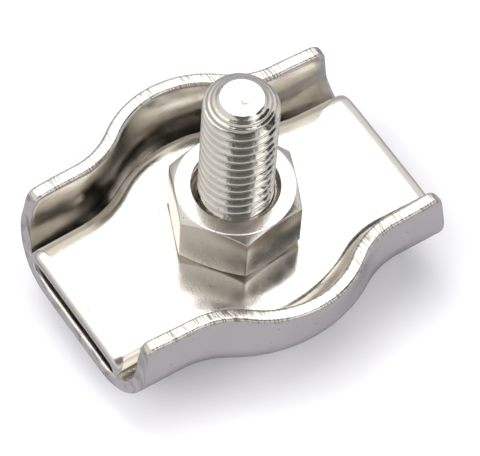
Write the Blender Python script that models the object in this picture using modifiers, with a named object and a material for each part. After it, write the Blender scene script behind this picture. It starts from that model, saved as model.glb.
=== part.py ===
"""Wire rope clip of the pressed single-bolt kind.

A channel with upturned, bulged flanges carries a pressure plate. A hexagon bolt comes up
through both, and its nut pulls the plate down on the two rope strands that lie in the channel,
one on each side of the bolt. X runs along the rope, Z up the bolt, and the origin is the
centre of the bolt head's bottom face, on which the clip stands.
"""

import math

import bmesh
import bpy

MM = 0.001

# Thread, M5 coarse
MAJOR_RADIUS = 2.45 * MM
PITCH = 0.8 * MM
THREAD_DEPTH = 0.49 * MM
CREST_FLAT = 0.10 * MM
THREAD_CLEARANCE = 0.10 * MM
THREAD_START = -0.7 * PITCH
STEPS_PER_TURN = 24
BLANK_STEPS = STEPS_PER_TURN + 1
SPARE_TURNS = 3

# Bolt
HEAD_ACROSS_FLATS = 8.0 * MM
HEAD_HEIGHT = 3.5 * MM
HEAD_TURN = math.radians(12)
BOLT_LENGTH = 17.35 * MM
TIP_FLAT_RADIUS = 1.4 * MM
TIP_CHAMFER_HEIGHT = 0.95 * MM
BLANK_ALLOWANCE = 0.3 * MM

# Nut
NUT_ACROSS_FLATS = 7.85 * MM
NUT_HEIGHT = 4.2 * MM
NUT_TURN = math.radians(6.8)
CHAMFER_RADIUS = 3.85 * MM
CHAMFER_SLOPE = math.tan(math.radians(30))
CORNER_CLEARANCE = 1.125
COUNTERSINK_RADIUS = 2.9 * MM

# Pressed sheet parts
SHEET = 1.0 * MM
CLIP_LENGTH = 24.1 * MM
BOLT_HOLE_RADIUS = 2.75 * MM
SMOOTH_ANGLE = math.radians(35)
RIM_ANGLE = math.radians(50)

# Channel: its floor's edge line, its rim line and the bend between them
CHANNEL_HEIGHT = 6.7 * MM
BEND_RADIUS = 2.9 * MM
FLOOR_END_HALF = 3.42 * MM
FLOOR_MIDDLE_HALF = 5.8 * MM
FLOOR_BULGE_REACH = 8.3 * MM
FLOOR_BULGE_RADIUS = 9.0 * MM
RIM_TOE_IN = 0.25 * MM
RIM_END_HALF = 6.8 * MM
RIM_MIDDLE_HALF = 9.55 * MM
RIM_BULGE_REACH = 7.5 * MM
RIM_BULGE_RADIUS = 6.3 * MM
END_SLANT = 1.0 * MM
CORNER_RADIUS = 0.7 * MM
RIM_EDGE_ROUND = 0.18 * MM

# Pressure plate
PLATE_RISE = 3.25 * MM
PLATE_CROWN = 0.35 * MM
ROLL_RADIUS = 0.20 * MM
ROLL_ANGLE = math.radians(60)
ROLL_TAIL = 0.25 * MM
PLATE_OVERHANG = 0.92 * MM
PLATE_EDGE_ROUND = 0.4 * MM

# Gap between pieces that touch
TOUCH_GAP = 0.05 * MM

# How far a cutter goes past its piece, and the distance at which vertices merge
OVERRUN = 1.0 * MM
MERGE_DISTANCE = 0.001 * MM

# Fineness: steps of a turned cutter, columns along a sheet, and rows across each of its stretches
TURN_STEPS = 48
SHEET_COLUMNS = 32
CHANNEL_FLOOR_ROWS = 1
CHANNEL_BEND_ROWS = 5
CHANNEL_FLANGE_ROWS = 5
PLATE_TOP_ROWS = 2
PLATE_ROLL_ROWS = 4
PLATE_TAIL_ROWS = 1

SEAT_Z = HEAD_HEIGHT + TOUCH_GAP
TIP_Z = HEAD_HEIGHT + BOLT_LENGTH
NUT_Z = SEAT_Z + PLATE_RISE + PLATE_CROWN + TOUCH_GAP
HALF_LENGTH = CLIP_LENGTH / 2


def clear_scene():
    for old in list(bpy.data.objects):
        bpy.data.objects.remove(old, do_unlink=True)


def new_collection(name):
    collection = bpy.data.collections.new(name)
    bpy.context.scene.collection.children.link(collection)
    return collection


def steel(name, colour, roughness):
    material = bpy.data.materials.new(name)
    material.use_nodes = True
    shader = material.node_tree.nodes["Principled BSDF"]
    shader.inputs["Base Color"].default_value = (*colour, 1.0)
    shader.inputs["Metallic"].default_value = 1.0
    shader.inputs["Roughness"].default_value = roughness
    return material


def add_object(name, bm, collection):
    mesh = bpy.data.meshes.new(name)
    bm.to_mesh(mesh)
    bm.free()
    obj = bpy.data.objects.new(name, mesh)
    collection.objects.link(obj)
    return obj


def finish_part(part, material):
    part.data.materials.append(material)
    part.data.shade_smooth()
    part.data.set_sharp_from_angle(angle=SMOOTH_ANGLE)


def hide_cutter(cutter):
    cutter.hide_render = True
    cutter.display_type = "WIRE"
    return cutter


def boolean(part, operation, other):
    modifier = part.modifiers.new(operation.lower(), "BOOLEAN")
    modifier.operation = operation
    modifier.solver = "EXACT"
    modifier.object = other


def turned(name, profile, collection, steps=TURN_STEPS):
    """A solid of revolution. The profile lists (radius, z) from the top of the axis down."""
    bm = bmesh.new()
    points = [bm.verts.new((radius, 0.0, z)) for radius, z in profile]
    for upper, lower in zip(points, points[1:]):
        bm.edges.new((upper, lower))
    obj = add_object(name, bm, collection)
    screw = obj.modifiers.new("turn", "SCREW")
    screw.steps = steps
    screw.render_steps = steps
    screw.use_merge_vertices = True
    screw.merge_threshold = MERGE_DISTANCE
    return obj


def helical_body(name, radius_offset, turns, collection):
    """A threaded rod with ragged ends, longer than the piece that it shapes."""
    flank = THREAD_DEPTH * math.tan(math.radians(30))
    crest = MAJOR_RADIUS + radius_offset
    root = crest - THREAD_DEPTH
    root_flat = PITCH - CREST_FLAT - 2 * flank
    tooth = [(root, 0.0), (root, root_flat), (crest, root_flat + flank)]
    tooth += [(crest, root_flat + flank + CREST_FLAT), (root, PITCH)]
    bm = bmesh.new()
    points = [bm.verts.new((radius, 0.0, THREAD_START + z)) for radius, z in tooth]
    edges = [bm.edges.new(pair) for pair in zip(points, points[1:])]
    bmesh.ops.spin(
        bm,
        geom=points + edges,
        axis=(0, 0, 1),
        dvec=(0, 0, PITCH / STEPS_PER_TURN),
        angle=2 * math.pi * turns,
        steps=STEPS_PER_TURN * turns,
    )
    bmesh.ops.remove_doubles(bm, verts=bm.verts, dist=MERGE_DISTANCE)
    rim = [edge for edge in bm.edges if edge.is_boundary]
    caps = bmesh.ops.holes_fill(bm, edges=rim, sides=0)["faces"]
    bmesh.ops.poke(bm, faces=caps)
    bmesh.ops.recalc_face_normals(bm, faces=bm.faces)
    return hide_cutter(add_object(name, bm, collection))


def hexagon_prism(name, across_flats, bottom, top, turn, collection):
    corner_radius = across_flats / math.sqrt(3)
    bm = bmesh.new()
    bmesh.ops.create_cone(
        bm,
        cap_ends=True,
        segments=6,
        radius1=corner_radius,
        radius2=corner_radius,
        depth=top - bottom,
    )
    bmesh.ops.translate(bm, verts=bm.verts, vec=(0, 0, (top + bottom) / 2))
    obj = add_object(name, bm, collection)
    obj.rotation_euler.z = turn + math.pi / 6
    return obj


def chamfer_reach(across_flats):
    """A radius past the hexagon's corners, and how far the chamfer cone has fallen there."""
    far = CORNER_CLEARANCE * across_flats / math.sqrt(3)
    return far, (far - CHAMFER_RADIUS) * CHAMFER_SLOPE


def bulged_line(x, end_half, middle_half, reach, bulge_radius):
    """Half-width at x of an outline: straight ends, and a round bulge with hollow feet."""
    lean = 2 * math.atan((middle_half - end_half) / reach)
    foot_radius = reach / math.sin(lean) - bulge_radius
    x = abs(x)
    if x < bulge_radius * math.sin(lean):
        return middle_half - bulge_radius + math.sqrt(bulge_radius**2 - x**2)
    if x < reach:
        return end_half + foot_radius - math.sqrt(foot_radius**2 - (reach - x) ** 2)
    return end_half


def floor_line(x):
    return bulged_line(x, FLOOR_END_HALF, FLOOR_MIDDLE_HALF, FLOOR_BULGE_REACH, FLOOR_BULGE_RADIUS)


def rim_line(x):
    past_bulge = max(abs(x) - RIM_BULGE_REACH, 0.0) / (HALF_LENGTH - RIM_BULGE_REACH)
    line = bulged_line(x, RIM_END_HALF, RIM_MIDDLE_HALF, RIM_BULGE_REACH, RIM_BULGE_RADIUS)
    return line - RIM_TOE_IN * past_bulge**2


def pressed_sheet(name, section, rows, edge_round, collection):
    """A sheet part from a flat grid. section(u, row) places a vertex of the half at +Y."""
    bm = bmesh.new()
    bmesh.ops.create_grid(bm, x_segments=SHEET_COLUMNS, y_segments=rows, size=1.0)
    for vertex in bm.verts:
        row = round((vertex.co.y + 1) / 2 * rows)
        vertex.co = section(vertex.co.x, row)
    obj = add_object(name, bm, collection)
    mirror = obj.modifiers.new("mirror", "MIRROR")
    mirror.use_axis = (False, True, False)
    mirror.merge_threshold = MERGE_DISTANCE
    solidify = obj.modifiers.new("thickness", "SOLIDIFY")
    solidify.thickness = SHEET
    solidify.offset = 0.0
    solidify.use_even_offset = True
    bevel = obj.modifiers.new("edges", "BEVEL")
    bevel.width = edge_round
    bevel.segments = 1
    bevel.limit_method = "ANGLE"
    bevel.angle_limit = RIM_ANGLE
    return obj


def channel_section(u, row):
    """The middle surface of the channel: floor, bend and leaning flange, all at one x."""
    nominal_x = u * HALF_LENGTH
    middle_radius = BEND_RADIUS + SHEET / 2
    floor_half = floor_line(nominal_x)
    rim_out = rim_line(nominal_x) - floor_half
    rim_up = CHANNEL_HEIGHT - SHEET / 2 - middle_radius
    lean = math.atan2(rim_out, rim_up) - math.asin(middle_radius / math.hypot(rim_out, rim_up))
    bend_angle = math.pi / 2 - lean
    bend_y = floor_half + middle_radius * math.sin(bend_angle)
    bend_z = middle_radius * (1 - math.cos(bend_angle))
    if row <= CHANNEL_FLOOR_ROWS:
        y = floor_half * row / CHANNEL_FLOOR_ROWS
        z = 0.0
    elif row <= CHANNEL_FLOOR_ROWS + CHANNEL_BEND_ROWS:
        angle = bend_angle * (row - CHANNEL_FLOOR_ROWS) / CHANNEL_BEND_ROWS
        y = floor_half + middle_radius * math.sin(angle)
        z = middle_radius * (1 - math.cos(angle))
    else:
        step = (row - CHANNEL_FLOOR_ROWS - CHANNEL_BEND_ROWS) / CHANNEL_FLANGE_ROWS
        rise = math.sin(step * math.pi / 2)
        y = bend_y + (floor_half + rim_out - bend_y) * rise
        z = bend_z + (CHANNEL_HEIGHT - SHEET / 2 - bend_z) * rise
    trim = END_SLANT * z / CHANNEL_HEIGHT
    into_corner = z - (CHANNEL_HEIGHT - SHEET / 2 - CORNER_RADIUS)
    if into_corner > 0:
        trim += CORNER_RADIUS - math.sqrt(max(CORNER_RADIUS**2 - into_corner**2, 0.0))
    return (nominal_x - trim * u**5, y, SEAT_Z + SHEET / 2 + z)


def plate_section(u, row):
    """The middle surface of the plate: crowned top and rolled-down side, all at one x."""
    x = u * HALF_LENGTH
    middle_radius = ROLL_RADIUS + SHEET / 2
    top_half = floor_line(x) + PLATE_OVERHANG
    if row <= PLATE_TOP_ROWS:
        y = top_half * row / PLATE_TOP_ROWS
        drop = 0.0
    elif row <= PLATE_TOP_ROWS + PLATE_ROLL_ROWS:
        angle = ROLL_ANGLE * (row - PLATE_TOP_ROWS) / PLATE_ROLL_ROWS
        y = top_half + middle_radius * math.sin(angle)
        drop = middle_radius * (1 - math.cos(angle))
    else:
        y = top_half + middle_radius * math.sin(ROLL_ANGLE) + ROLL_TAIL * math.cos(ROLL_ANGLE)
        drop = middle_radius * (1 - math.cos(ROLL_ANGLE)) + ROLL_TAIL * math.sin(ROLL_ANGLE)
    crown = PLATE_CROWN * (1 - u**2)
    return (x, y, SEAT_Z + PLATE_RISE - SHEET / 2 + crown - drop)


def make_channel(parts, cutters):
    rows = CHANNEL_FLOOR_ROWS + CHANNEL_BEND_ROWS + CHANNEL_FLANGE_ROWS
    channel = pressed_sheet("channel", channel_section, rows, RIM_EDGE_ROUND, parts)
    boolean(channel, "DIFFERENCE", bolt_hole("channel_hole", cutters))
    return channel


def make_plate(parts, cutters):
    rows = PLATE_TOP_ROWS + PLATE_ROLL_ROWS + PLATE_TAIL_ROWS
    plate = pressed_sheet("pressure_plate", plate_section, rows, PLATE_EDGE_ROUND, parts)
    boolean(plate, "DIFFERENCE", bolt_hole("plate_hole", cutters))
    return plate


def bolt_hole(name, cutters):
    profile = [(0.0, NUT_Z), (BOLT_HOLE_RADIUS, NUT_Z), (BOLT_HOLE_RADIUS, HEAD_HEIGHT)]
    profile += [(0.0, HEAD_HEIGHT)]
    return hide_cutter(turned(name, profile, cutters, STEPS_PER_TURN))


def make_bolt(parts, cutters):
    blank = MAJOR_RADIUS + BLANK_ALLOWANCE
    fall = TIP_CHAMFER_HEIGHT * (blank - TIP_FLAT_RADIUS) / (MAJOR_RADIUS - TIP_FLAT_RADIUS)
    shank = [(0.0, TIP_Z), (TIP_FLAT_RADIUS, TIP_Z), (blank, TIP_Z - fall)]
    shank += [(blank, HEAD_HEIGHT / 2), (0.0, HEAD_HEIGHT / 2)]
    bolt = turned("hex_bolt", shank, parts, BLANK_STEPS)
    turns = math.ceil(TIP_Z / PITCH) + SPARE_TURNS
    boolean(bolt, "INTERSECT", helical_body("bolt_thread", 0.0, turns, cutters))
    head = hexagon_prism("bolt_head_blank", HEAD_ACROSS_FLATS, 0.0, HEAD_HEIGHT, HEAD_TURN, cutters)
    far, drop = chamfer_reach(HEAD_ACROSS_FLATS)
    dome = [(0.0, HEAD_HEIGHT + OVERRUN), (far, HEAD_HEIGHT + OVERRUN), (far, drop)]
    dome += [(CHAMFER_RADIUS, 0.0), (0.0, 0.0)]
    boolean(head, "INTERSECT", hide_cutter(turned("bolt_head_dome", dome, cutters)))
    boolean(bolt, "UNION", hide_cutter(head))
    return bolt


def make_nut(parts, cutters):
    top = NUT_Z + NUT_HEIGHT
    nut = hexagon_prism("hex_nut", NUT_ACROSS_FLATS, NUT_Z, top, NUT_TURN, parts)
    far, drop = chamfer_reach(NUT_ACROSS_FLATS)
    facing = [(0.0, top), (CHAMFER_RADIUS, top), (far, top - drop)]
    facing += [(far, NUT_Z + drop), (CHAMFER_RADIUS, NUT_Z), (0.0, NUT_Z)]
    boolean(nut, "INTERSECT", hide_cutter(turned("nut_facing", facing, cutters)))
    turns = math.ceil(top / PITCH) + SPARE_TURNS
    boolean(nut, "DIFFERENCE", helical_body("nut_thread", THREAD_CLEARANCE, turns, cutters))
    core = MAJOR_RADIUS - THREAD_DEPTH
    sink = COUNTERSINK_RADIUS - core
    mouths = [(0.0, top + OVERRUN), (COUNTERSINK_RADIUS, top + OVERRUN), (COUNTERSINK_RADIUS, top)]
    mouths += [(core, top - sink), (core, NUT_Z + sink), (COUNTERSINK_RADIUS, NUT_Z)]
    mouths += [(COUNTERSINK_RADIUS, NUT_Z - OVERRUN), (0.0, NUT_Z - OVERRUN)]
    boolean(nut, "DIFFERENCE", hide_cutter(turned("nut_mouths", mouths, cutters)))
    return nut


def main():
    clear_scene()
    parts = new_collection("wire_rope_clip")
    cutters = new_collection("cutters")
    finish_part(make_channel(parts, cutters), steel("channel_steel", (0.62, 0.60, 0.58), 0.12))
    finish_part(make_plate(parts, cutters), steel("plate_steel", (0.66, 0.64, 0.61), 0.10))
    finish_part(make_bolt(parts, cutters), steel("bolt_steel", (0.60, 0.58, 0.55), 0.16))
    finish_part(make_nut(parts, cutters), steel("nut_steel", (0.58, 0.56, 0.53), 0.14))


main()
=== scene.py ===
"""The looks of a single-bolt wire rope clip in polished stainless steel, built round its CAD frame."""

import math

import bmesh
import bpy
from mathutils import Matrix, Vector, noise


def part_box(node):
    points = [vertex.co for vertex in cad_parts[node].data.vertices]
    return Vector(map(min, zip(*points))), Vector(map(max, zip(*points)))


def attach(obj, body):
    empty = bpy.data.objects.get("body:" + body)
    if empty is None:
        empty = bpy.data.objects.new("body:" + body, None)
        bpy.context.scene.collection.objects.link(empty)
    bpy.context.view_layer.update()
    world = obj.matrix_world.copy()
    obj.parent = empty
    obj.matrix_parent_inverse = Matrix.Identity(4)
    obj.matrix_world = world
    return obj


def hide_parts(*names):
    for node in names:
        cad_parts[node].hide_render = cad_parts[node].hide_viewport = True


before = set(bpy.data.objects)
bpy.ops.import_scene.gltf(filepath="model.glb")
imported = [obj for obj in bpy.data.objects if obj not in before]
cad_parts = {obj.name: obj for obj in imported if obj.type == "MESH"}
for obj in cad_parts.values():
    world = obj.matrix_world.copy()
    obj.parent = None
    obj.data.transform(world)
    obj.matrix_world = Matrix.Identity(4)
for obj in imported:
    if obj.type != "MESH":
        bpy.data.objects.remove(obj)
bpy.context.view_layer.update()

MM = 0.001

# Heights read from the frame
CHANNEL_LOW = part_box("channel")[0]
NUT_LOW, NUT_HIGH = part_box("hex_nut")
BOLT_LOW, BOLT_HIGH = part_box("hex_bolt")
SEAT_Z = CHANNEL_LOW.z
TIP_Z = BOLT_HIGH.z
NUT_Z = NUT_LOW.z
NUT_TOP = NUT_HIGH.z

# Sheet parts, as in the CAD model
SHEET = 1.0 * MM
CLIP_LENGTH = 24.1 * MM
HALF_LENGTH = CLIP_LENGTH / 2
BOLT_HOLE_RADIUS = 2.75 * MM
CHANNEL_HEIGHT = 6.7 * MM
BEND_RADIUS = 2.9 * MM
FLOOR_END_HALF = 3.42 * MM
FLOOR_MIDDLE_HALF = 5.8 * MM
FLOOR_BULGE_REACH = 8.3 * MM
FLOOR_BULGE_RADIUS = 9.0 * MM
RIM_TOE_IN = 0.25 * MM
RIM_END_HALF = 6.8 * MM
RIM_MIDDLE_HALF = 9.55 * MM
RIM_BULGE_REACH = 7.5 * MM
RIM_BULGE_RADIUS = 6.3 * MM
END_SLANT = 1.0 * MM
CORNER_RADIUS = 0.7 * MM
PLATE_RISE = 3.25 * MM
PLATE_CROWN = 0.35 * MM
PLATE_OVERHANG = 0.92 * MM
ROLL_RADIUS = 0.20 * MM
ROLL_ANGLE = math.radians(60)
ROLL_TAIL = 0.25 * MM

# Sheet parts, softer than in the CAD model: how far in the cut edges start to round off, how much
# each face has dropped at the edge, and how the plate's sides droop before they roll down
RIM_EDGE_ROUND = 0.28 * MM
RIM_EDGE_DROP = 0.28 * MM
PLATE_EDGE_ROUND = 0.9 * MM
PLATE_EDGE_DROP = 0.28 * MM
PLATE_DROOP = 0.07 * MM
PLATE_DROOP_REACH = 1.4 * MM

# Where a sheet is under this share of its thickness it is cut edge, which is slightly uneven
EDGE_FULLNESS = 0.97
EDGE_WOBBLE = 0.01 * MM
EDGE_WOBBLE_SCALE = 2500

# Thread, nut and head, as in the CAD model
MAJOR_RADIUS = 2.45 * MM
PITCH = 0.8 * MM
THREAD_DEPTH = 0.49 * MM
THREAD_CLEARANCE = 0.10 * MM
THREAD_START = -0.7 * PITCH
THREAD_HALF_ANGLE = math.radians(30)
TIP_FLAT_RADIUS = 1.4 * MM
TIP_CHAMFER_HEIGHT = 0.95 * MM
BLANK_ALLOWANCE = 0.3 * MM
HEAD_ACROSS_FLATS = 8.0 * MM
HEAD_HEIGHT = 3.5 * MM
HEAD_TURN = math.radians(12)
NUT_ACROSS_FLATS = 7.85 * MM
NUT_TURN = math.radians(6.8)
CHAMFER_RADIUS = 3.85 * MM
CHAMFER_SLOPE = math.tan(math.radians(30))
CHAMFER_SPAN = 0.65
COUNTERSINK_RADIUS = 2.9 * MM

# Thread, nut and head, finer than in the CAD model: the round crest with its seam, the swollen and
# rippled tip, whose ripples fade in from its flat end, the centre mark, and softened corners
CREST_ROUND = 0.13 * MM
CREST_SEAM = 0.05 * MM
TIP_SWELL = 0.10 * MM
TIP_RIPPLE = 0.022 * MM
TIP_RIPPLES = 5
TIP_RIPPLE_FADE = 0.25
CENTRE_MARK = (0.10 * MM, -0.25 * MM)
CENTRE_MARK_DEPTH = 0.05 * MM
CENTRE_MARK_ROUND = 1.1 * MM
HEAD_EDGE_WIDTH = 0.06 * MM
NUT_EDGE_WIDTH = 0.07 * MM

# Fineness of the visible surfaces
SHEET_COLUMNS = 180
COLUMN_CROWDING = 0.2
END_TRIM_POWER = 5
CHANNEL_FLOOR_ROWS = 6
CHANNEL_BEND_ROWS = 16
CHANNEL_FLANGE_ROWS = 22
PLATE_TOP_ROWS = 16
PLATE_ROLL_ROWS = 12
PLATE_TAIL_ROWS = 4
TURN_STEPS = 72
THREAD_STEPS = 60
CREST_STEPS = 8
TIP_STEPS = 48
CENTRE_MARK_STEPS = (64, 48)
BEVEL_STEPS = 2
BEVEL_ANGLE = math.radians(20)
SMOOTH_ANGLE = math.radians(32)
MERGE_DISTANCE = 1e-6

# How far the cutting solids run past what they cut
OVERRUN = 1.0 * MM
BOLT_SPARE_TURNS = 2
NUT_SPARE_TURNS = 4

# Colours of the polished steel, its specks, its torn edges, and the painted shade in the roots of its
# thread
STEEL_DARK = (0.68, 0.65, 0.60)
STEEL_LIGHT = (0.77, 0.74, 0.69)
BOLT_DARK = (0.66, 0.63, 0.57)
BOLT_LIGHT = (0.82, 0.79, 0.73)
SPECK = (0.34, 0.32, 0.28)
TORN = (0.22, 0.21, 0.19)
ROOT_SHADE_COLOUR = (0.20, 0.19, 0.17)

# Noise scales of the polish, in cells per metre, and the noise value where a speck is full and gone
WAVE_SCALE = 260
POLISH_PATCH_SCALE = 900
DENT_SCALE = 1700
SPECK_SCALE = 4000
GRAIN_SCALE = 6500
SPECK_RANGE = (0.20, 0.27)

# The sheared edges: scales and stretches of their noise, and the noise values of a torn line
STRIATION_SCALE = 8000
STRIATION_STRETCH = (1, 0.10, 0.06)
BAND_SCALE = 500
BAND_STRETCH = (1, 0.6, 0.6)
BAND_RANGE = (0.35, 0.65)
BAND_LEAST = 0.3
EDGE_PATCH_SCALE = 1500
TORN_RANGE = (0.38, 0.50)
EDGE_ROUGHNESS = (0.14, 0.30)
EDGE_PATCH_DEPTH = 0.4
EDGE_PATCH_STRENGTH = 0.6

# The painted shade in the thread's roots: depths under the crest, and the streaks that vary it
ROOT_SHADE_FROM = 0.10 * MM
ROOT_SHADE_TO = 0.38 * MM
ROOT_SHADE_LEAST = 0.5
ROOT_STREAK_SCALE = 1500
ROOT_STREAK_STRETCH = (1, 1, 2)

# The table, in metres, and its colours as the camera and the metal see it. The colour the metal sees is
# painted shade, a darker lavender grey that stands for the table's shadow
FLOOR_HALF_SIZE = 1.5
FLOOR_GAP = 0.02 * MM
FLOOR_SEEN = (0.95, 0.95, 0.965)
FLOOR_MIRRORED_SHADE = (0.45, 0.445, 0.49)
FLOOR_GLOW = (0.95, 0.94, 1.0, 1.0)
FLOOR_GLOW_LEVEL = 0.08
FLOOR_ROUGHNESS = 0.9
FLOOR_SHEEN = 0.1

# The light tent. It darkens towards its hem, and each patch is given by its azimuth from +X, its
# elevation, the angles from its middle where it is full and gone, in degrees, and its strength.
TENT_COLOUR = (1.0, 0.99, 0.975, 1.0)
TENT_LEVEL = 0.91
HEM_LEVEL = 0.35
HEM_HEIGHT = 0.45
BRIGHT_PATCHES = (
    ((75, 68, 24, 38), 1.15),
    ((-68, 50, 12, 21), 0.6),
    ((-8, 74, 12, 24), 0.8),
)
DARK_PATCHES = (
    ((-117, 62, 16, 30), 0.82),
    ((-24, 52, 16, 22), 0.94),
)

# The softboxes, in metres and watts: name, azimuth from +X, elevation in degrees, and power
SOFTBOX_SIZE = 2.9
SOFTBOX_DISTANCE = 5.0
SOFTBOX_COLOUR = (0.99, 0.98, 1.0)
SOFTBOXES = (
    ("top_softbox", 0, 88, 70),
    ("back_softbox", 120, 70, 72),
    ("left_softbox", 180, 52, 106),
    ("left_front_softbox", 240, 50, 75),
    ("front_softbox", 300, 50, 56),
)

# The camera: azimuth 0 looks along +Y
CAMERA_AZIMUTH = math.radians(-36.8)
CAMERA_ELEVATION = math.radians(56.43)
CAMERA_ROLL = math.radians(4.43)
CAMERA_DISTANCE = 266.0 * MM
CAMERA_AIM = (0.34 * MM, -0.35 * MM, 6.55 * MM)
CAMERA_LENS = 310.8
CAMERA_NEAR = 10 * MM
CAMERA_FAR = 10.0

cutters = bpy.data.collections.new("cutters")
bpy.context.scene.collection.children.link(cutters)
shown = bpy.data.collections.new("clip")
bpy.context.scene.collection.children.link(shown)


def add_object(name, bm, collection):
    mesh = bpy.data.meshes.new(name)
    bm.to_mesh(mesh)
    bm.free()
    obj = bpy.data.objects.new(name, mesh)
    collection.objects.link(obj)
    return obj


def hide_cutter(cutter):
    cutter.hide_render = True
    cutter.display_type = "WIRE"
    return cutter


def boolean(part, operation, other):
    modifier = part.modifiers.new(operation.lower(), "BOOLEAN")
    modifier.operation = operation
    modifier.solver = "EXACT"
    modifier.object = other


def bevel(part, width):
    modifier = part.modifiers.new("edges", "BEVEL")
    modifier.width = width
    modifier.segments = BEVEL_STEPS
    modifier.limit_method = "ANGLE"
    modifier.angle_limit = BEVEL_ANGLE
    modifier.use_clamp_overlap = True
    modifier.miter_outer = "MITER_ARC"


def bake_modifiers(part):
    """The evaluated mesh becomes the part's own, so that later steps see one mesh."""
    bpy.context.view_layer.update()
    evaluated = part.evaluated_get(bpy.context.evaluated_depsgraph_get())
    mesh = bpy.data.meshes.new_from_object(evaluated)
    part.modifiers.clear()
    part.data = mesh


def smooth(part):
    part.data.shade_smooth()
    part.data.set_sharp_from_angle(angle=SMOOTH_ANGLE)


def coat(part, skin):
    part.data.materials.clear()
    part.data.materials.append(skin)


# ---------------------------------------------------------------- sheet parts


def bulged_line(x, end_half, middle_half, reach, bulge_radius):
    """Half-width at x of an outline: straight ends, and a round bulge with hollow feet."""
    lean = 2 * math.atan((middle_half - end_half) / reach)
    foot_radius = reach / math.sin(lean) - bulge_radius
    x = abs(x)
    if x < bulge_radius * math.sin(lean):
        return middle_half - bulge_radius + math.sqrt(bulge_radius**2 - x**2)
    if x < reach:
        return end_half + foot_radius - math.sqrt(foot_radius**2 - (reach - x) ** 2)
    return end_half


def floor_line(x):
    return bulged_line(x, FLOOR_END_HALF, FLOOR_MIDDLE_HALF, FLOOR_BULGE_REACH, FLOOR_BULGE_RADIUS)


def rim_line(x):
    past_bulge = max(abs(x) - RIM_BULGE_REACH, 0.0) / (HALF_LENGTH - RIM_BULGE_REACH)
    line = bulged_line(x, RIM_END_HALF, RIM_MIDDLE_HALF, RIM_BULGE_REACH, RIM_BULGE_RADIUS)
    return line - RIM_TOE_IN * past_bulge**2


def rounded(step):
    """0 to 1 in even steps becomes 0 to 1 with close steps at the end, for a rounded edge there."""
    return math.sin(step * math.pi / 2)


def spread_columns(u):
    """-1 to 1 in even steps, drawn together at both ends, where the cut edges are rounded."""
    return (1 - COLUMN_CROWDING) * u + COLUMN_CROWDING * math.sin(u * math.pi / 2)


def channel_profile(x, row):
    """(y, z) of the channel's middle surface in the plane at x: floor, bend and leaning flange."""
    middle_radius = BEND_RADIUS + SHEET / 2
    floor_half = floor_line(x)
    rim_out = rim_line(x) - floor_half
    rim_up = CHANNEL_HEIGHT - SHEET / 2 - middle_radius
    lean = math.atan2(rim_out, rim_up) - math.asin(middle_radius / math.hypot(rim_out, rim_up))
    bend_angle = math.pi / 2 - lean
    bend_y = floor_half + middle_radius * math.sin(bend_angle)
    bend_z = middle_radius * (1 - math.cos(bend_angle))
    if row <= CHANNEL_FLOOR_ROWS:
        return floor_half * row / CHANNEL_FLOOR_ROWS, 0.0
    if row <= CHANNEL_FLOOR_ROWS + CHANNEL_BEND_ROWS:
        angle = bend_angle * (row - CHANNEL_FLOOR_ROWS) / CHANNEL_BEND_ROWS
        return floor_half + middle_radius * math.sin(angle), middle_radius * (1 - math.cos(angle))
    rise = rounded((row - CHANNEL_FLOOR_ROWS - CHANNEL_BEND_ROWS) / CHANNEL_FLANGE_ROWS)
    y = bend_y + (floor_half + rim_out - bend_y) * rise
    return y, bend_z + (CHANNEL_HEIGHT - SHEET / 2 - bend_z) * rise


def channel_section(u, row):
    """A vertex of the channel's middle surface, and how far it is from the cut edge.
    The slanted ends and round corners are made by moving the columns near the ends inwards."""
    nominal_x = u * HALF_LENGTH
    z = channel_profile(nominal_x, row)[1]
    to_top = CHANNEL_HEIGHT - SHEET / 2 - z
    slant = END_SLANT * z / CHANNEL_HEIGHT
    trim = slant
    if to_top < CORNER_RADIUS:
        trim += CORNER_RADIUS - math.sqrt(CORNER_RADIUS**2 - (CORNER_RADIUS - to_top) ** 2)
    x = nominal_x - trim * u**END_TRIM_POWER
    y, z = channel_profile(x, row)
    to_end = HALF_LENGTH - slant - abs(x)
    inset = (max(CORNER_RADIUS - to_top, 0.0), max(CORNER_RADIUS - to_end, 0.0))
    return Vector((x, y, SEAT_Z + SHEET / 2 + z)), CORNER_RADIUS - math.hypot(*inset)


def plate_section(u, row):
    """A vertex of the plate's middle surface, and how far it is from the cut edge."""
    x = u * HALF_LENGTH
    middle_radius = ROLL_RADIUS + SHEET / 2
    top_half = floor_line(x) + PLATE_OVERHANG
    start = math.atan(2 * PLATE_DROOP / PLATE_DROOP_REACH)
    if row <= PLATE_TOP_ROWS:
        y = top_half * row / PLATE_TOP_ROWS
        drop = PLATE_DROOP * max(0.0, 1 - (top_half - y) / PLATE_DROOP_REACH) ** 2
    else:
        rolled = min((row - PLATE_TOP_ROWS) / PLATE_ROLL_ROWS, 1.0)
        step = rounded(max(row - PLATE_TOP_ROWS - PLATE_ROLL_ROWS, 0) / PLATE_TAIL_ROWS)
        angle = start + (ROLL_ANGLE - start) * rolled
        y = top_half + middle_radius * (math.sin(angle) - math.sin(start))
        y += step * ROLL_TAIL * math.cos(ROLL_ANGLE)
        drop = PLATE_DROOP + middle_radius * (math.cos(start) - math.cos(angle))
        drop += step * ROLL_TAIL * math.sin(ROLL_ANGLE)
    crown = PLATE_CROWN * (1 - u**2)
    to_side = ROLL_TAIL + (PLATE_TOP_ROWS + PLATE_ROLL_ROWS - row) * SHEET / PLATE_ROLL_ROWS
    if row > PLATE_TOP_ROWS + PLATE_ROLL_ROWS:
        to_side = ROLL_TAIL * (1 - step)
    to_edge = min(HALF_LENGTH - abs(x), to_side)
    return Vector((x, y, SEAT_Z + PLATE_RISE - SHEET / 2 + crown - drop)), to_edge


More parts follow.
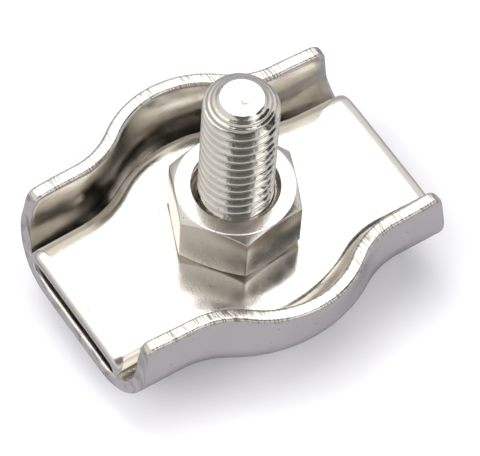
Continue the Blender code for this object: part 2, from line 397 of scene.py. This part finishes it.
def pressed_sheet(name, section, rows, rounding, skin, cut_edge):
    """A sheet part from a flat grid. section(u, row) places a vertex of the half at +Y.
    The sheet thins over the last stretch before its cut edges, which rounds them.
    rounding is how far in that starts, and how much each face has dropped at the edge."""
    edge_round, edge_drop = rounding
    bm = bmesh.new()
    bmesh.ops.create_grid(bm, x_segments=SHEET_COLUMNS, y_segments=rows, size=1.0)
    bm.verts.index_update()
    fullness = []
    for vertex in bm.verts:
        row = round((vertex.co.y + 1) / 2 * rows)
        vertex.co, to_edge = section(spread_columns(vertex.co.x), row)
        outside = 1 - min(max(to_edge, 0.0), edge_round) / edge_round
        fullness.append(1 - 2 * edge_drop * (1 - math.sqrt(1 - outside**2)) / SHEET)
    for face in bm.faces:
        if min(fullness[vertex.index] for vertex in face.verts) < EDGE_FULLNESS:
            face.material_index = 1
    for vertex in bm.verts:
        if fullness[vertex.index] < EDGE_FULLNESS:
            wobble = noise.noise(vertex.co * EDGE_WOBBLE_SCALE)
            vertex.co.z -= EDGE_WOBBLE * (1 + wobble)
    part = add_object(name, bm, shown)
    part.data.materials.append(skin)
    part.data.materials.append(cut_edge)
    group = part.vertex_groups.new(name="fullness")
    for index, value in enumerate(fullness):
        group.add([index], value, "REPLACE")
    mirror = part.modifiers.new("mirror", "MIRROR")
    mirror.use_axis = (False, True, False)
    mirror.merge_threshold = MERGE_DISTANCE
    solidify = part.modifiers.new("thickness", "SOLIDIFY")
    solidify.thickness = SHEET
    solidify.offset = 0.0
    solidify.vertex_group = "fullness"
    return part


def bolt_hole(name):
    low = SEAT_Z - OVERRUN
    profile = [(0.0, NUT_Z), (BOLT_HOLE_RADIUS, NUT_Z), (BOLT_HOLE_RADIUS, low), (0.0, low)]
    return hide_cutter(turned(name, profile, cutters))


# ---------------------------------------------------------------- turned and threaded parts


def turned(name, profile, collection):
    """A solid of revolution. The profile lists (radius, z) from the top of the axis down."""
    bm = bmesh.new()
    points = [bm.verts.new((radius, 0.0, z)) for radius, z in profile]
    for upper, lower in zip(points, points[1:]):
        bm.edges.new((upper, lower))
    obj = add_object(name, bm, collection)
    screw = obj.modifiers.new("turn", "SCREW")
    screw.steps = TURN_STEPS
    screw.render_steps = TURN_STEPS
    screw.use_merge_vertices = True
    screw.merge_threshold = MERGE_DISTANCE
    return obj


def thread_tooth(crest_radius):
    """One pitch of the thread's outline, (radius, z), from root to root over a rolled, round crest.
    The seam is the shallow line down the middle where rolling closed the crest."""
    sweep = math.pi / 2 - THREAD_HALF_ANGLE
    flank_drop = THREAD_DEPTH - CREST_ROUND * (1 - math.cos(sweep))
    half_tooth = CREST_ROUND * math.sin(sweep) + flank_drop * math.tan(THREAD_HALF_ANGLE)
    root = crest_radius - THREAD_DEPTH
    middle = PITCH - half_tooth
    tooth = [(root, 0.0), (root, middle - half_tooth)]
    for step in range(CREST_STEPS + 1):
        turn = sweep * (2 * step / CREST_STEPS - 1)
        radius = crest_radius - CREST_ROUND * (1 - math.cos(turn))
        if step == CREST_STEPS // 2:
            radius -= CREST_SEAM
        tooth.append((radius, middle + CREST_ROUND * math.sin(turn)))
    tooth.append((root, PITCH))
    return tooth


def helical_body(name, radius_offset, turns):
    """A threaded rod with ragged ends, longer than the piece that it shapes."""
    bm = bmesh.new()
    tooth = thread_tooth(MAJOR_RADIUS + radius_offset)
    points = [bm.verts.new((radius, 0.0, THREAD_START + z)) for radius, z in tooth]
    edges = [bm.edges.new(pair) for pair in zip(points, points[1:])]
    bmesh.ops.spin(
        bm,
        geom=points + edges,
        axis=(0, 0, 1),
        dvec=(0, 0, PITCH / THREAD_STEPS),
        angle=2 * math.pi * turns,
        steps=THREAD_STEPS * turns,
    )
    bmesh.ops.remove_doubles(bm, verts=bm.verts, dist=MERGE_DISTANCE)
    rim = [edge for edge in bm.edges if edge.is_boundary]
    caps = bmesh.ops.holes_fill(bm, edges=rim, sides=0)["faces"]
    bmesh.ops.poke(bm, faces=caps)
    bmesh.ops.recalc_face_normals(bm, faces=bm.faces)
    return hide_cutter(add_object(name, bm, cutters))


def hexagon_prism(name, across_flats, bottom, top, turn, collection):
    corner_radius = across_flats / math.sqrt(3)
    bm = bmesh.new()
    bmesh.ops.create_cone(
        bm,
        cap_ends=True,
        segments=6,
        radius1=corner_radius,
        radius2=corner_radius,
        depth=top - bottom,
    )
    middle = Matrix.Translation((0, 0, (top + bottom) / 2))
    bmesh.ops.transform(bm, matrix=middle @ Matrix.Rotation(turn + math.pi / 6, 4, "Z"), verts=bm.verts)
    return add_object(name, bm, collection)


def chamfer_reach(across_flats):
    """A radius past the hexagon's corners, and how far the chamfer cone has fallen there."""
    far = CHAMFER_SPAN * across_flats
    return far, (far - CHAMFER_RADIUS) * CHAMFER_SLOPE


def make_channel(skin, cut_edge):
    rows = CHANNEL_FLOOR_ROWS + CHANNEL_BEND_ROWS + CHANNEL_FLANGE_ROWS
    rounding = (RIM_EDGE_ROUND, RIM_EDGE_DROP)
    part = pressed_sheet("polished_channel", channel_section, rows, rounding, skin, cut_edge)
    boolean(part, "DIFFERENCE", bolt_hole("channel_hole"))
    bake_modifiers(part)
    smooth(part)
    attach(part, "saddle")
    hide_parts("channel")


def make_plate(skin, cut_edge):
    rows = PLATE_TOP_ROWS + PLATE_ROLL_ROWS + PLATE_TAIL_ROWS
    rounding = (PLATE_EDGE_ROUND, PLATE_EDGE_DROP)
    part = pressed_sheet("polished_pressure_plate", plate_section, rows, rounding, skin, cut_edge)
    boolean(part, "DIFFERENCE", bolt_hole("plate_hole"))
    bake_modifiers(part)
    smooth(part)
    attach(part, "plate")
    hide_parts("pressure_plate")


def centre_mark():
    """The shallow dimple that the forming tool leaves in the bolt's end."""
    around, down = CENTRE_MARK_STEPS
    bm = bmesh.new()
    bmesh.ops.create_uvsphere(bm, u_segments=around, v_segments=down, radius=CENTRE_MARK_ROUND)
    mark = add_object("centre_mark", bm, cutters)
    mark.location = (*CENTRE_MARK, TIP_Z + CENTRE_MARK_ROUND - CENTRE_MARK_DEPTH)
    return hide_cutter(mark)


def make_bolt(skin):
    blank = MAJOR_RADIUS + BLANK_ALLOWANCE
    fall = TIP_CHAMFER_HEIGHT * (blank - TIP_FLAT_RADIUS) / (MAJOR_RADIUS - TIP_FLAT_RADIUS)
    shank = [(0.0, TIP_Z)]
    for step in range(TIP_STEPS + 1):
        share = step / TIP_STEPS
        swell = TIP_SWELL * 4 * share * (1 - share)
        fade = min(1.0, share / TIP_RIPPLE_FADE)
        swell += TIP_RIPPLE * math.sin(2 * math.pi * TIP_RIPPLES * share) * fade
        radius = TIP_FLAT_RADIUS + (blank - TIP_FLAT_RADIUS) * share
        shank.append((radius + swell, TIP_Z - fall * share + swell * share))
    shank += [(blank, HEAD_HEIGHT / 2), (0.0, HEAD_HEIGHT / 2)]
    part = turned("threaded_bolt", shank, shown)
    turns = math.ceil(TIP_Z / PITCH) + BOLT_SPARE_TURNS
    boolean(part, "INTERSECT", helical_body("bolt_thread", 0.0, turns))
    boolean(part, "DIFFERENCE", centre_mark())
    head = hexagon_prism("bolt_head_blank", HEAD_ACROSS_FLATS, 0.0, HEAD_HEIGHT, HEAD_TURN, cutters)
    far, drop = chamfer_reach(HEAD_ACROSS_FLATS)
    dome = [(0.0, HEAD_HEIGHT + OVERRUN), (far, HEAD_HEIGHT + OVERRUN), (far, drop)]
    dome += [(CHAMFER_RADIUS, 0.0), (0.0, 0.0)]
    boolean(head, "INTERSECT", hide_cutter(turned("bolt_head_dome", dome, cutters)))
    bevel(head, HEAD_EDGE_WIDTH)
    boolean(part, "UNION", hide_cutter(head))
    bake_modifiers(part)
    smooth(part)
    coat(part, skin)
    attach(part, "saddle")
    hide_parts("hex_bolt")


def make_nut(skin):
    part = hexagon_prism("chamfered_nut", NUT_ACROSS_FLATS, NUT_Z, NUT_TOP, NUT_TURN, shown)
    far, drop = chamfer_reach(NUT_ACROSS_FLATS)
    facing = [(0.0, NUT_TOP), (CHAMFER_RADIUS, NUT_TOP), (far, NUT_TOP - drop)]
    facing += [(far, NUT_Z + drop), (CHAMFER_RADIUS, NUT_Z), (0.0, NUT_Z)]
    boolean(part, "INTERSECT", hide_cutter(turned("nut_facing", facing, cutters)))
    bevel(part, NUT_EDGE_WIDTH)
    turns = math.ceil(NUT_TOP / PITCH) + NUT_SPARE_TURNS
    boolean(part, "DIFFERENCE", helical_body("nut_thread", THREAD_CLEARANCE, turns))
    core = MAJOR_RADIUS - THREAD_DEPTH
    sink = COUNTERSINK_RADIUS - core
    mouths = [(0.0, NUT_TOP + OVERRUN), (COUNTERSINK_RADIUS, NUT_TOP + OVERRUN)]
    mouths += [(COUNTERSINK_RADIUS, NUT_TOP), (core, NUT_TOP - sink)]
    mouths += [(core, NUT_Z + sink), (COUNTERSINK_RADIUS, NUT_Z)]
    mouths += [(COUNTERSINK_RADIUS, NUT_Z - OVERRUN), (0.0, NUT_Z - OVERRUN)]
    boolean(part, "DIFFERENCE", hide_cutter(turned("nut_mouths", mouths, cutters)))
    bake_modifiers(part)
    smooth(part)
    coat(part, skin)
    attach(part, "nut")
    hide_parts("hex_nut")


# ---------------------------------------------------------------- materials


def new_material(name):
    material = bpy.data.materials.new(name)
    material.use_nodes = True
    tree = material.node_tree
    return material, tree, tree.nodes["Principled BSDF"]


def noise_node(tree, coordinates, scale, detail, stretch=(1, 1, 1)):
    """Noise whose cells are narrow along the axes where stretch is large."""
    mapping = tree.nodes.new("ShaderNodeMapping")
    mapping.inputs["Scale"].default_value = stretch
    tree.links.new(coordinates, mapping.inputs["Vector"])
    texture = tree.nodes.new("ShaderNodeTexNoise")
    texture.inputs["Scale"].default_value = scale
    texture.inputs["Detail"].default_value = detail
    tree.links.new(mapping.outputs["Vector"], texture.inputs["Vector"])
    return texture.outputs["Fac"]


def ramp(tree, value, low, high, start=0.3, end=0.7):
    """value from start to end becomes low to high. Noise mostly runs from 0.3 to 0.7."""
    node = tree.nodes.new("ShaderNodeMapRange")
    node.inputs["From Min"].default_value = start
    node.inputs["From Max"].default_value = end
    node.inputs["To Min"].default_value = low
    node.inputs["To Max"].default_value = high
    tree.links.new(value, node.inputs["Value"])
    return node.outputs["Result"]


def bump(tree, height, distance, under=None, strength=1.0):
    """The normal of a relief, on top of the relief that under is the normal of."""
    node = tree.nodes.new("ShaderNodeBump")
    node.inputs["Distance"].default_value = distance
    node.inputs["Strength"].default_value = strength
    tree.links.new(height, node.inputs["Height"])
    if under is not None:
        tree.links.new(under, node.inputs["Normal"])
    return node.outputs["Normal"]


def tint(tree, value, dark, light):
    """value from 0 to 1 becomes dark to light, each a colour or another node's output."""
    mix = tree.nodes.new("ShaderNodeMix")
    mix.data_type = "RGBA"
    for socket, colour in (("A", dark), ("B", light)):
        if isinstance(colour, bpy.types.NodeSocket):
            tree.links.new(colour, mix.inputs[socket])
        else:
            mix.inputs[socket].default_value = (*colour, 1.0)
    tree.links.new(value, mix.inputs["Factor"])
    return mix.outputs["Result"]


def scaled(tree, value, factor, add=0.0):
    node = tree.nodes.new("ShaderNodeMath")
    node.operation = "MULTIPLY_ADD"
    node.inputs[1].default_value = factor
    node.inputs[2].default_value = add
    tree.links.new(value, node.inputs[0])
    return node.outputs[0]


def combined(tree, operation, first, second):
    node = tree.nodes.new("ShaderNodeMath")
    node.operation = operation
    tree.links.new(first, node.inputs[0])
    tree.links.new(second, node.inputs[1])
    return node.outputs[0]


def polished_steel(name, tones, roughness, wave, dents, grain):
    """Bright stainless steel with patchy polish, dark specks, and three reliefs of the given depths:
    slow waviness, small dents and an orange-peel grain."""
    material, tree, shader = new_material(name)
    place = tree.nodes.new("ShaderNodeTexCoord").outputs["Object"]
    slow = noise_node(tree, place, WAVE_SCALE, 2)
    patches = noise_node(tree, place, POLISH_PATCH_SCALE, 4)
    small = noise_node(tree, place, DENT_SCALE, 2)
    fine = noise_node(tree, place, GRAIN_SCALE, 3)
    specks = ramp(tree, noise_node(tree, place, SPECK_SCALE, 1), 1.0, 0.0, *SPECK_RANGE)
    shader.inputs["Metallic"].default_value = 1.0
    clean = tint(tree, patches, *tones)
    tree.links.new(tint(tree, specks, clean, SPECK), shader.inputs["Base Color"])
    tree.links.new(ramp(tree, patches, *roughness), shader.inputs["Roughness"])
    waved = bump(tree, slow, wave)
    dented = bump(tree, small, dents, waved)
    tree.links.new(bump(tree, fine, grain, dented), shader.inputs["Normal"])
    return material


def shade_thread_roots(material):
    """Painted shade in a thread: its crests keep the steel's colour, and its flanks and roots are
    painted darker, as the shade between the teeth, fading out on the tip's chamfer.
    """
    tree = material.node_tree
    shader = tree.nodes["Principled BSDF"]
    place = tree.nodes.new("ShaderNodeTexCoord").outputs["Object"]
    split = tree.nodes.new("ShaderNodeSeparateXYZ")
    tree.links.new(place, split.inputs["Vector"])
    across = combined(tree, "MULTIPLY", split.outputs["X"], split.outputs["X"])
    along = combined(tree, "MULTIPLY", split.outputs["Y"], split.outputs["Y"])
    radius = tree.nodes.new("ShaderNodeMath")
    radius.operation = "SQRT"
    tree.links.new(combined(tree, "ADD", across, along), radius.inputs[0])
    root_shade_radii = (MAJOR_RADIUS - ROOT_SHADE_TO, MAJOR_RADIUS - ROOT_SHADE_FROM)
    depth = ramp(tree, radius.outputs[0], 1.0, 0.0, *root_shade_radii)
    chamfer = (TIP_Z - TIP_CHAMFER_HEIGHT, TIP_Z - TIP_CHAMFER_HEIGHT / 2)
    threaded = ramp(tree, split.outputs["Z"], 1.0, 0.0, *chamfer)
    streaks = noise_node(tree, place, ROOT_STREAK_SCALE, 3, ROOT_STREAK_STRETCH)
    root_shade = combined(tree, "MULTIPLY", depth, threaded)
    root_shade = combined(tree, "MULTIPLY", root_shade, ramp(tree, streaks, ROOT_SHADE_LEAST, 1.0))
    clean = shader.inputs["Base Color"].links[0].from_socket
    # Painted shade: the root colour is mixed into the base colour deep in the thread
    tree.links.new(tint(tree, root_shade, clean, ROOT_SHADE_COLOUR), shader.inputs["Base Color"])


def sheared_edge(name, depth, tear):
    """The cut edge of the sheet: close striations across its thickness, half polished away.
    depth is how deep they are, and tear is how dark the torn ones are, from 0 to 1."""
    material, tree, shader = new_material(name)
    place = tree.nodes.new("ShaderNodeTexCoord").outputs["Object"]
    lines = noise_node(tree, place, STRIATION_SCALE, 2, STRIATION_STRETCH)
    broad = noise_node(tree, place, BAND_SCALE, 2, BAND_STRETCH)
    strong = ramp(tree, broad, BAND_LEAST, 1.0, *BAND_RANGE)
    patches = noise_node(tree, place, EDGE_PATCH_SCALE, 3)
    shader.inputs["Metallic"].default_value = 1.0
    polish = tint(tree, patches, STEEL_DARK, STEEL_LIGHT)
    torn = combined(tree, "MULTIPLY", ramp(tree, lines, tear, 0.0, *TORN_RANGE), strong)
    tree.links.new(tint(tree, torn, polish, TORN), shader.inputs["Base Color"])
    tree.links.new(ramp(tree, broad, *EDGE_ROUGHNESS), shader.inputs["Roughness"])
    cut = bump(tree, combined(tree, "MULTIPLY", lines, strong), depth)
    uneven = bump(tree, patches, EDGE_PATCH_DEPTH * depth, cut, EDGE_PATCH_STRENGTH)
    tree.links.new(uneven, shader.inputs["Normal"])
    return material


# ---------------------------------------------------------------- stage, light and camera


def make_floor():
    """A wide white table with a faint glow. In the metal's reflections it is painted shade, a lavender
    grey that stands for its shadow round the clip.
    """
    bm = bmesh.new()
    bmesh.ops.create_grid(bm, x_segments=1, y_segments=1, size=FLOOR_HALF_SIZE)
    floor = add_object("pale_floor", bm, bpy.context.scene.collection)
    floor.location.z = BOLT_LOW.z - FLOOR_GAP
    material, tree, shader = new_material("pale_floor")
    # Painted shade: glossy rays see the table darker than the camera does
    mirrored = tree.nodes.new("ShaderNodeLightPath").outputs["Is Glossy Ray"]
    colour = tint(tree, mirrored, FLOOR_SEEN, FLOOR_MIRRORED_SHADE)
    tree.links.new(colour, shader.inputs["Base Color"])
    shader.inputs["Roughness"].default_value = FLOOR_ROUGHNESS
    shader.inputs["Specular IOR Level"].default_value = FLOOR_SHEEN
    shader.inputs["Emission Color"].default_value = FLOOR_GLOW
    seen = tree.nodes.new("ShaderNodeLightPath").outputs["Is Camera Ray"]
    tree.links.new(scaled(tree, seen, FLOOR_GLOW_LEVEL), shader.inputs["Emission Strength"])
    floor.data.materials.append(material)


def toward(azimuth, elevation):
    """The unit vector at an azimuth from +X and an elevation, both in degrees."""
    turn = math.radians(azimuth)
    rise = math.radians(elevation)
    return Vector((math.cos(rise) * math.cos(turn), math.cos(rise) * math.sin(turn), math.sin(rise)))


def soft_spot(tree, direction, azimuth, elevation, full, gone):
    """1 within full degrees of a direction, falling smoothly to 0 at gone degrees."""
    dot = tree.nodes.new("ShaderNodeVectorMath")
    dot.operation = "DOT_PRODUCT"
    dot.inputs[1].default_value = toward(azimuth, elevation)
    tree.links.new(direction, dot.inputs[0])
    node = tree.nodes.new("ShaderNodeMapRange")
    node.interpolation_type = "SMOOTHSTEP"
    node.inputs["From Min"].default_value = math.cos(math.radians(gone))
    node.inputs["From Max"].default_value = math.cos(math.radians(full))
    tree.links.new(dot.outputs["Value"], node.inputs["Value"])
    return node.outputs["Result"]


def make_world():
    """A white light tent with brighter panels, dark openings and a darker hem.
    It is for the metal's reflections: the softboxes light the table, and the camera sees plain white."""
    world = bpy.data.worlds.new("light_tent")
    bpy.context.scene.world = world
    world.use_nodes = True
    world.cycles_visibility.diffuse = False
    tree = world.node_tree
    direction = tree.nodes.new("ShaderNodeTexCoord").outputs["Generated"]
    level = tree.nodes.new("ShaderNodeValue").outputs[0]
    level.default_value = TENT_LEVEL
    for place, brightness in BRIGHT_PATCHES:
        patch = soft_spot(tree, direction, *place)
        level = combined(tree, "ADD", level, scaled(tree, patch, brightness))
    height = tree.nodes.new("ShaderNodeSeparateXYZ")
    tree.links.new(direction, height.inputs["Vector"])
    hem = ramp(tree, height.outputs["Z"], HEM_LEVEL, 1.0, 0.0, HEM_HEIGHT)
    level = combined(tree, "MULTIPLY", level, hem)
    for place, darkness in DARK_PATCHES:
        patch = soft_spot(tree, direction, *place)
        level = combined(tree, "MULTIPLY", level, scaled(tree, patch, -darkness, 1.0))
    background = tree.nodes["Background"]
    background.inputs["Color"].default_value = TENT_COLOUR
    tree.links.new(level, background.inputs["Strength"])
    plain = tree.nodes.new("ShaderNodeBackground")
    plain.inputs["Color"].default_value = (1.0, 1.0, 1.0, 1.0)
    plain.inputs["Strength"].default_value = 1.0
    seen = tree.nodes.new("ShaderNodeLightPath").outputs["Is Camera Ray"]
    mix = tree.nodes.new("ShaderNodeMixShader")
    tree.links.new(seen, mix.inputs["Fac"])
    tree.links.new(background.outputs["Background"], mix.inputs[1])
    tree.links.new(plain.outputs["Background"], mix.inputs[2])
    tree.links.new(mix.outputs["Shader"], tree.nodes["World Output"].inputs["Surface"])


def area_light(name, azimuth, elevation, power):
    """A round softbox that faces the clip."""
    light = bpy.data.lights.new(name, "AREA")
    light.shape = "DISK"
    light.size = SOFTBOX_SIZE
    light.energy = power
    light.color = SOFTBOX_COLOUR
    obj = bpy.data.objects.new(name, light)
    direction = toward(azimuth, elevation)
    obj.location = direction * SOFTBOX_DISTANCE
    obj.rotation_euler = direction.to_track_quat("Z", "Y").to_euler()
    bpy.context.scene.collection.objects.link(obj)
    return obj


def make_lights():
    """The softboxes light the table. The metal mirrors the tent and not them."""
    for name, azimuth, elevation, power in SOFTBOXES:
        softbox = area_light(name, azimuth, elevation, power)
        softbox.visible_glossy = False
        softbox.visible_camera = False


def make_camera():
    """A long lens looking steeply down on the clip, from in front and to its left."""
    data = bpy.data.cameras.new("camera")
    data.lens = CAMERA_LENS
    data.clip_start = CAMERA_NEAR
    data.clip_end = CAMERA_FAR
    camera = bpy.data.objects.new("camera", data)
    level = math.cos(CAMERA_ELEVATION)
    right = math.sin(CAMERA_AZIMUTH) * level
    ahead = math.cos(CAMERA_AZIMUTH) * level
    back = Vector((right, -ahead, math.sin(CAMERA_ELEVATION)))
    camera.location = Vector(CAMERA_AIM) + back * CAMERA_DISTANCE
    turn = back.to_track_quat("Z", "Y").to_matrix() @ Matrix.Rotation(CAMERA_ROLL, 3, "Z")
    camera.rotation_euler = turn.to_euler()
    bpy.context.scene.collection.objects.link(camera)
    return camera


make_floor()
make_world()
make_lights()
camera = make_camera()

cut_edge = sheared_edge("cut_edge", depth=0.05 * MM, tear=0.8)
plate_edge = sheared_edge("plate_edge", depth=0.004 * MM, tear=0.0)
channel_skin = polished_steel(
    "channel_polish",
    tones=(STEEL_DARK, STEEL_LIGHT),
    roughness=(0.15, 0.24),
    wave=0.005 * MM,
    dents=0.001 * MM,
    grain=0.003 * MM,
)
plate_skin = polished_steel(
    "plate_polish",
    tones=(STEEL_DARK, STEEL_LIGHT),
    roughness=(0.11, 0.20),
    wave=0.008 * MM,
    dents=0.001 * MM,
    grain=0.004 * MM,
)
bolt_skin = polished_steel(
    "bolt_polish",
    tones=(BOLT_DARK, BOLT_LIGHT),
    roughness=(0.07, 0.16),
    wave=0.010 * MM,
    dents=0.030 * MM,
    grain=0.006 * MM,
)
nut_skin = polished_steel(
    "nut_polish",
    tones=(STEEL_DARK, STEEL_LIGHT),
    roughness=(0.18, 0.28),
    wave=0.005 * MM,
    dents=0.002 * MM,
    grain=0.008 * MM,
)
# Painted shade in the roots of the bolt's thread
shade_thread_roots(bolt_skin)
make_channel(channel_skin, cut_edge)
make_plate(plate_skin, plate_edge)
make_bolt(bolt_skin)
make_nut(nut_skin)

bpy.context.scene.camera = camera
bpy.context.scene.view_settings.view_transform = "Standard"
bpy.context.scene.view_settings.look = "None"
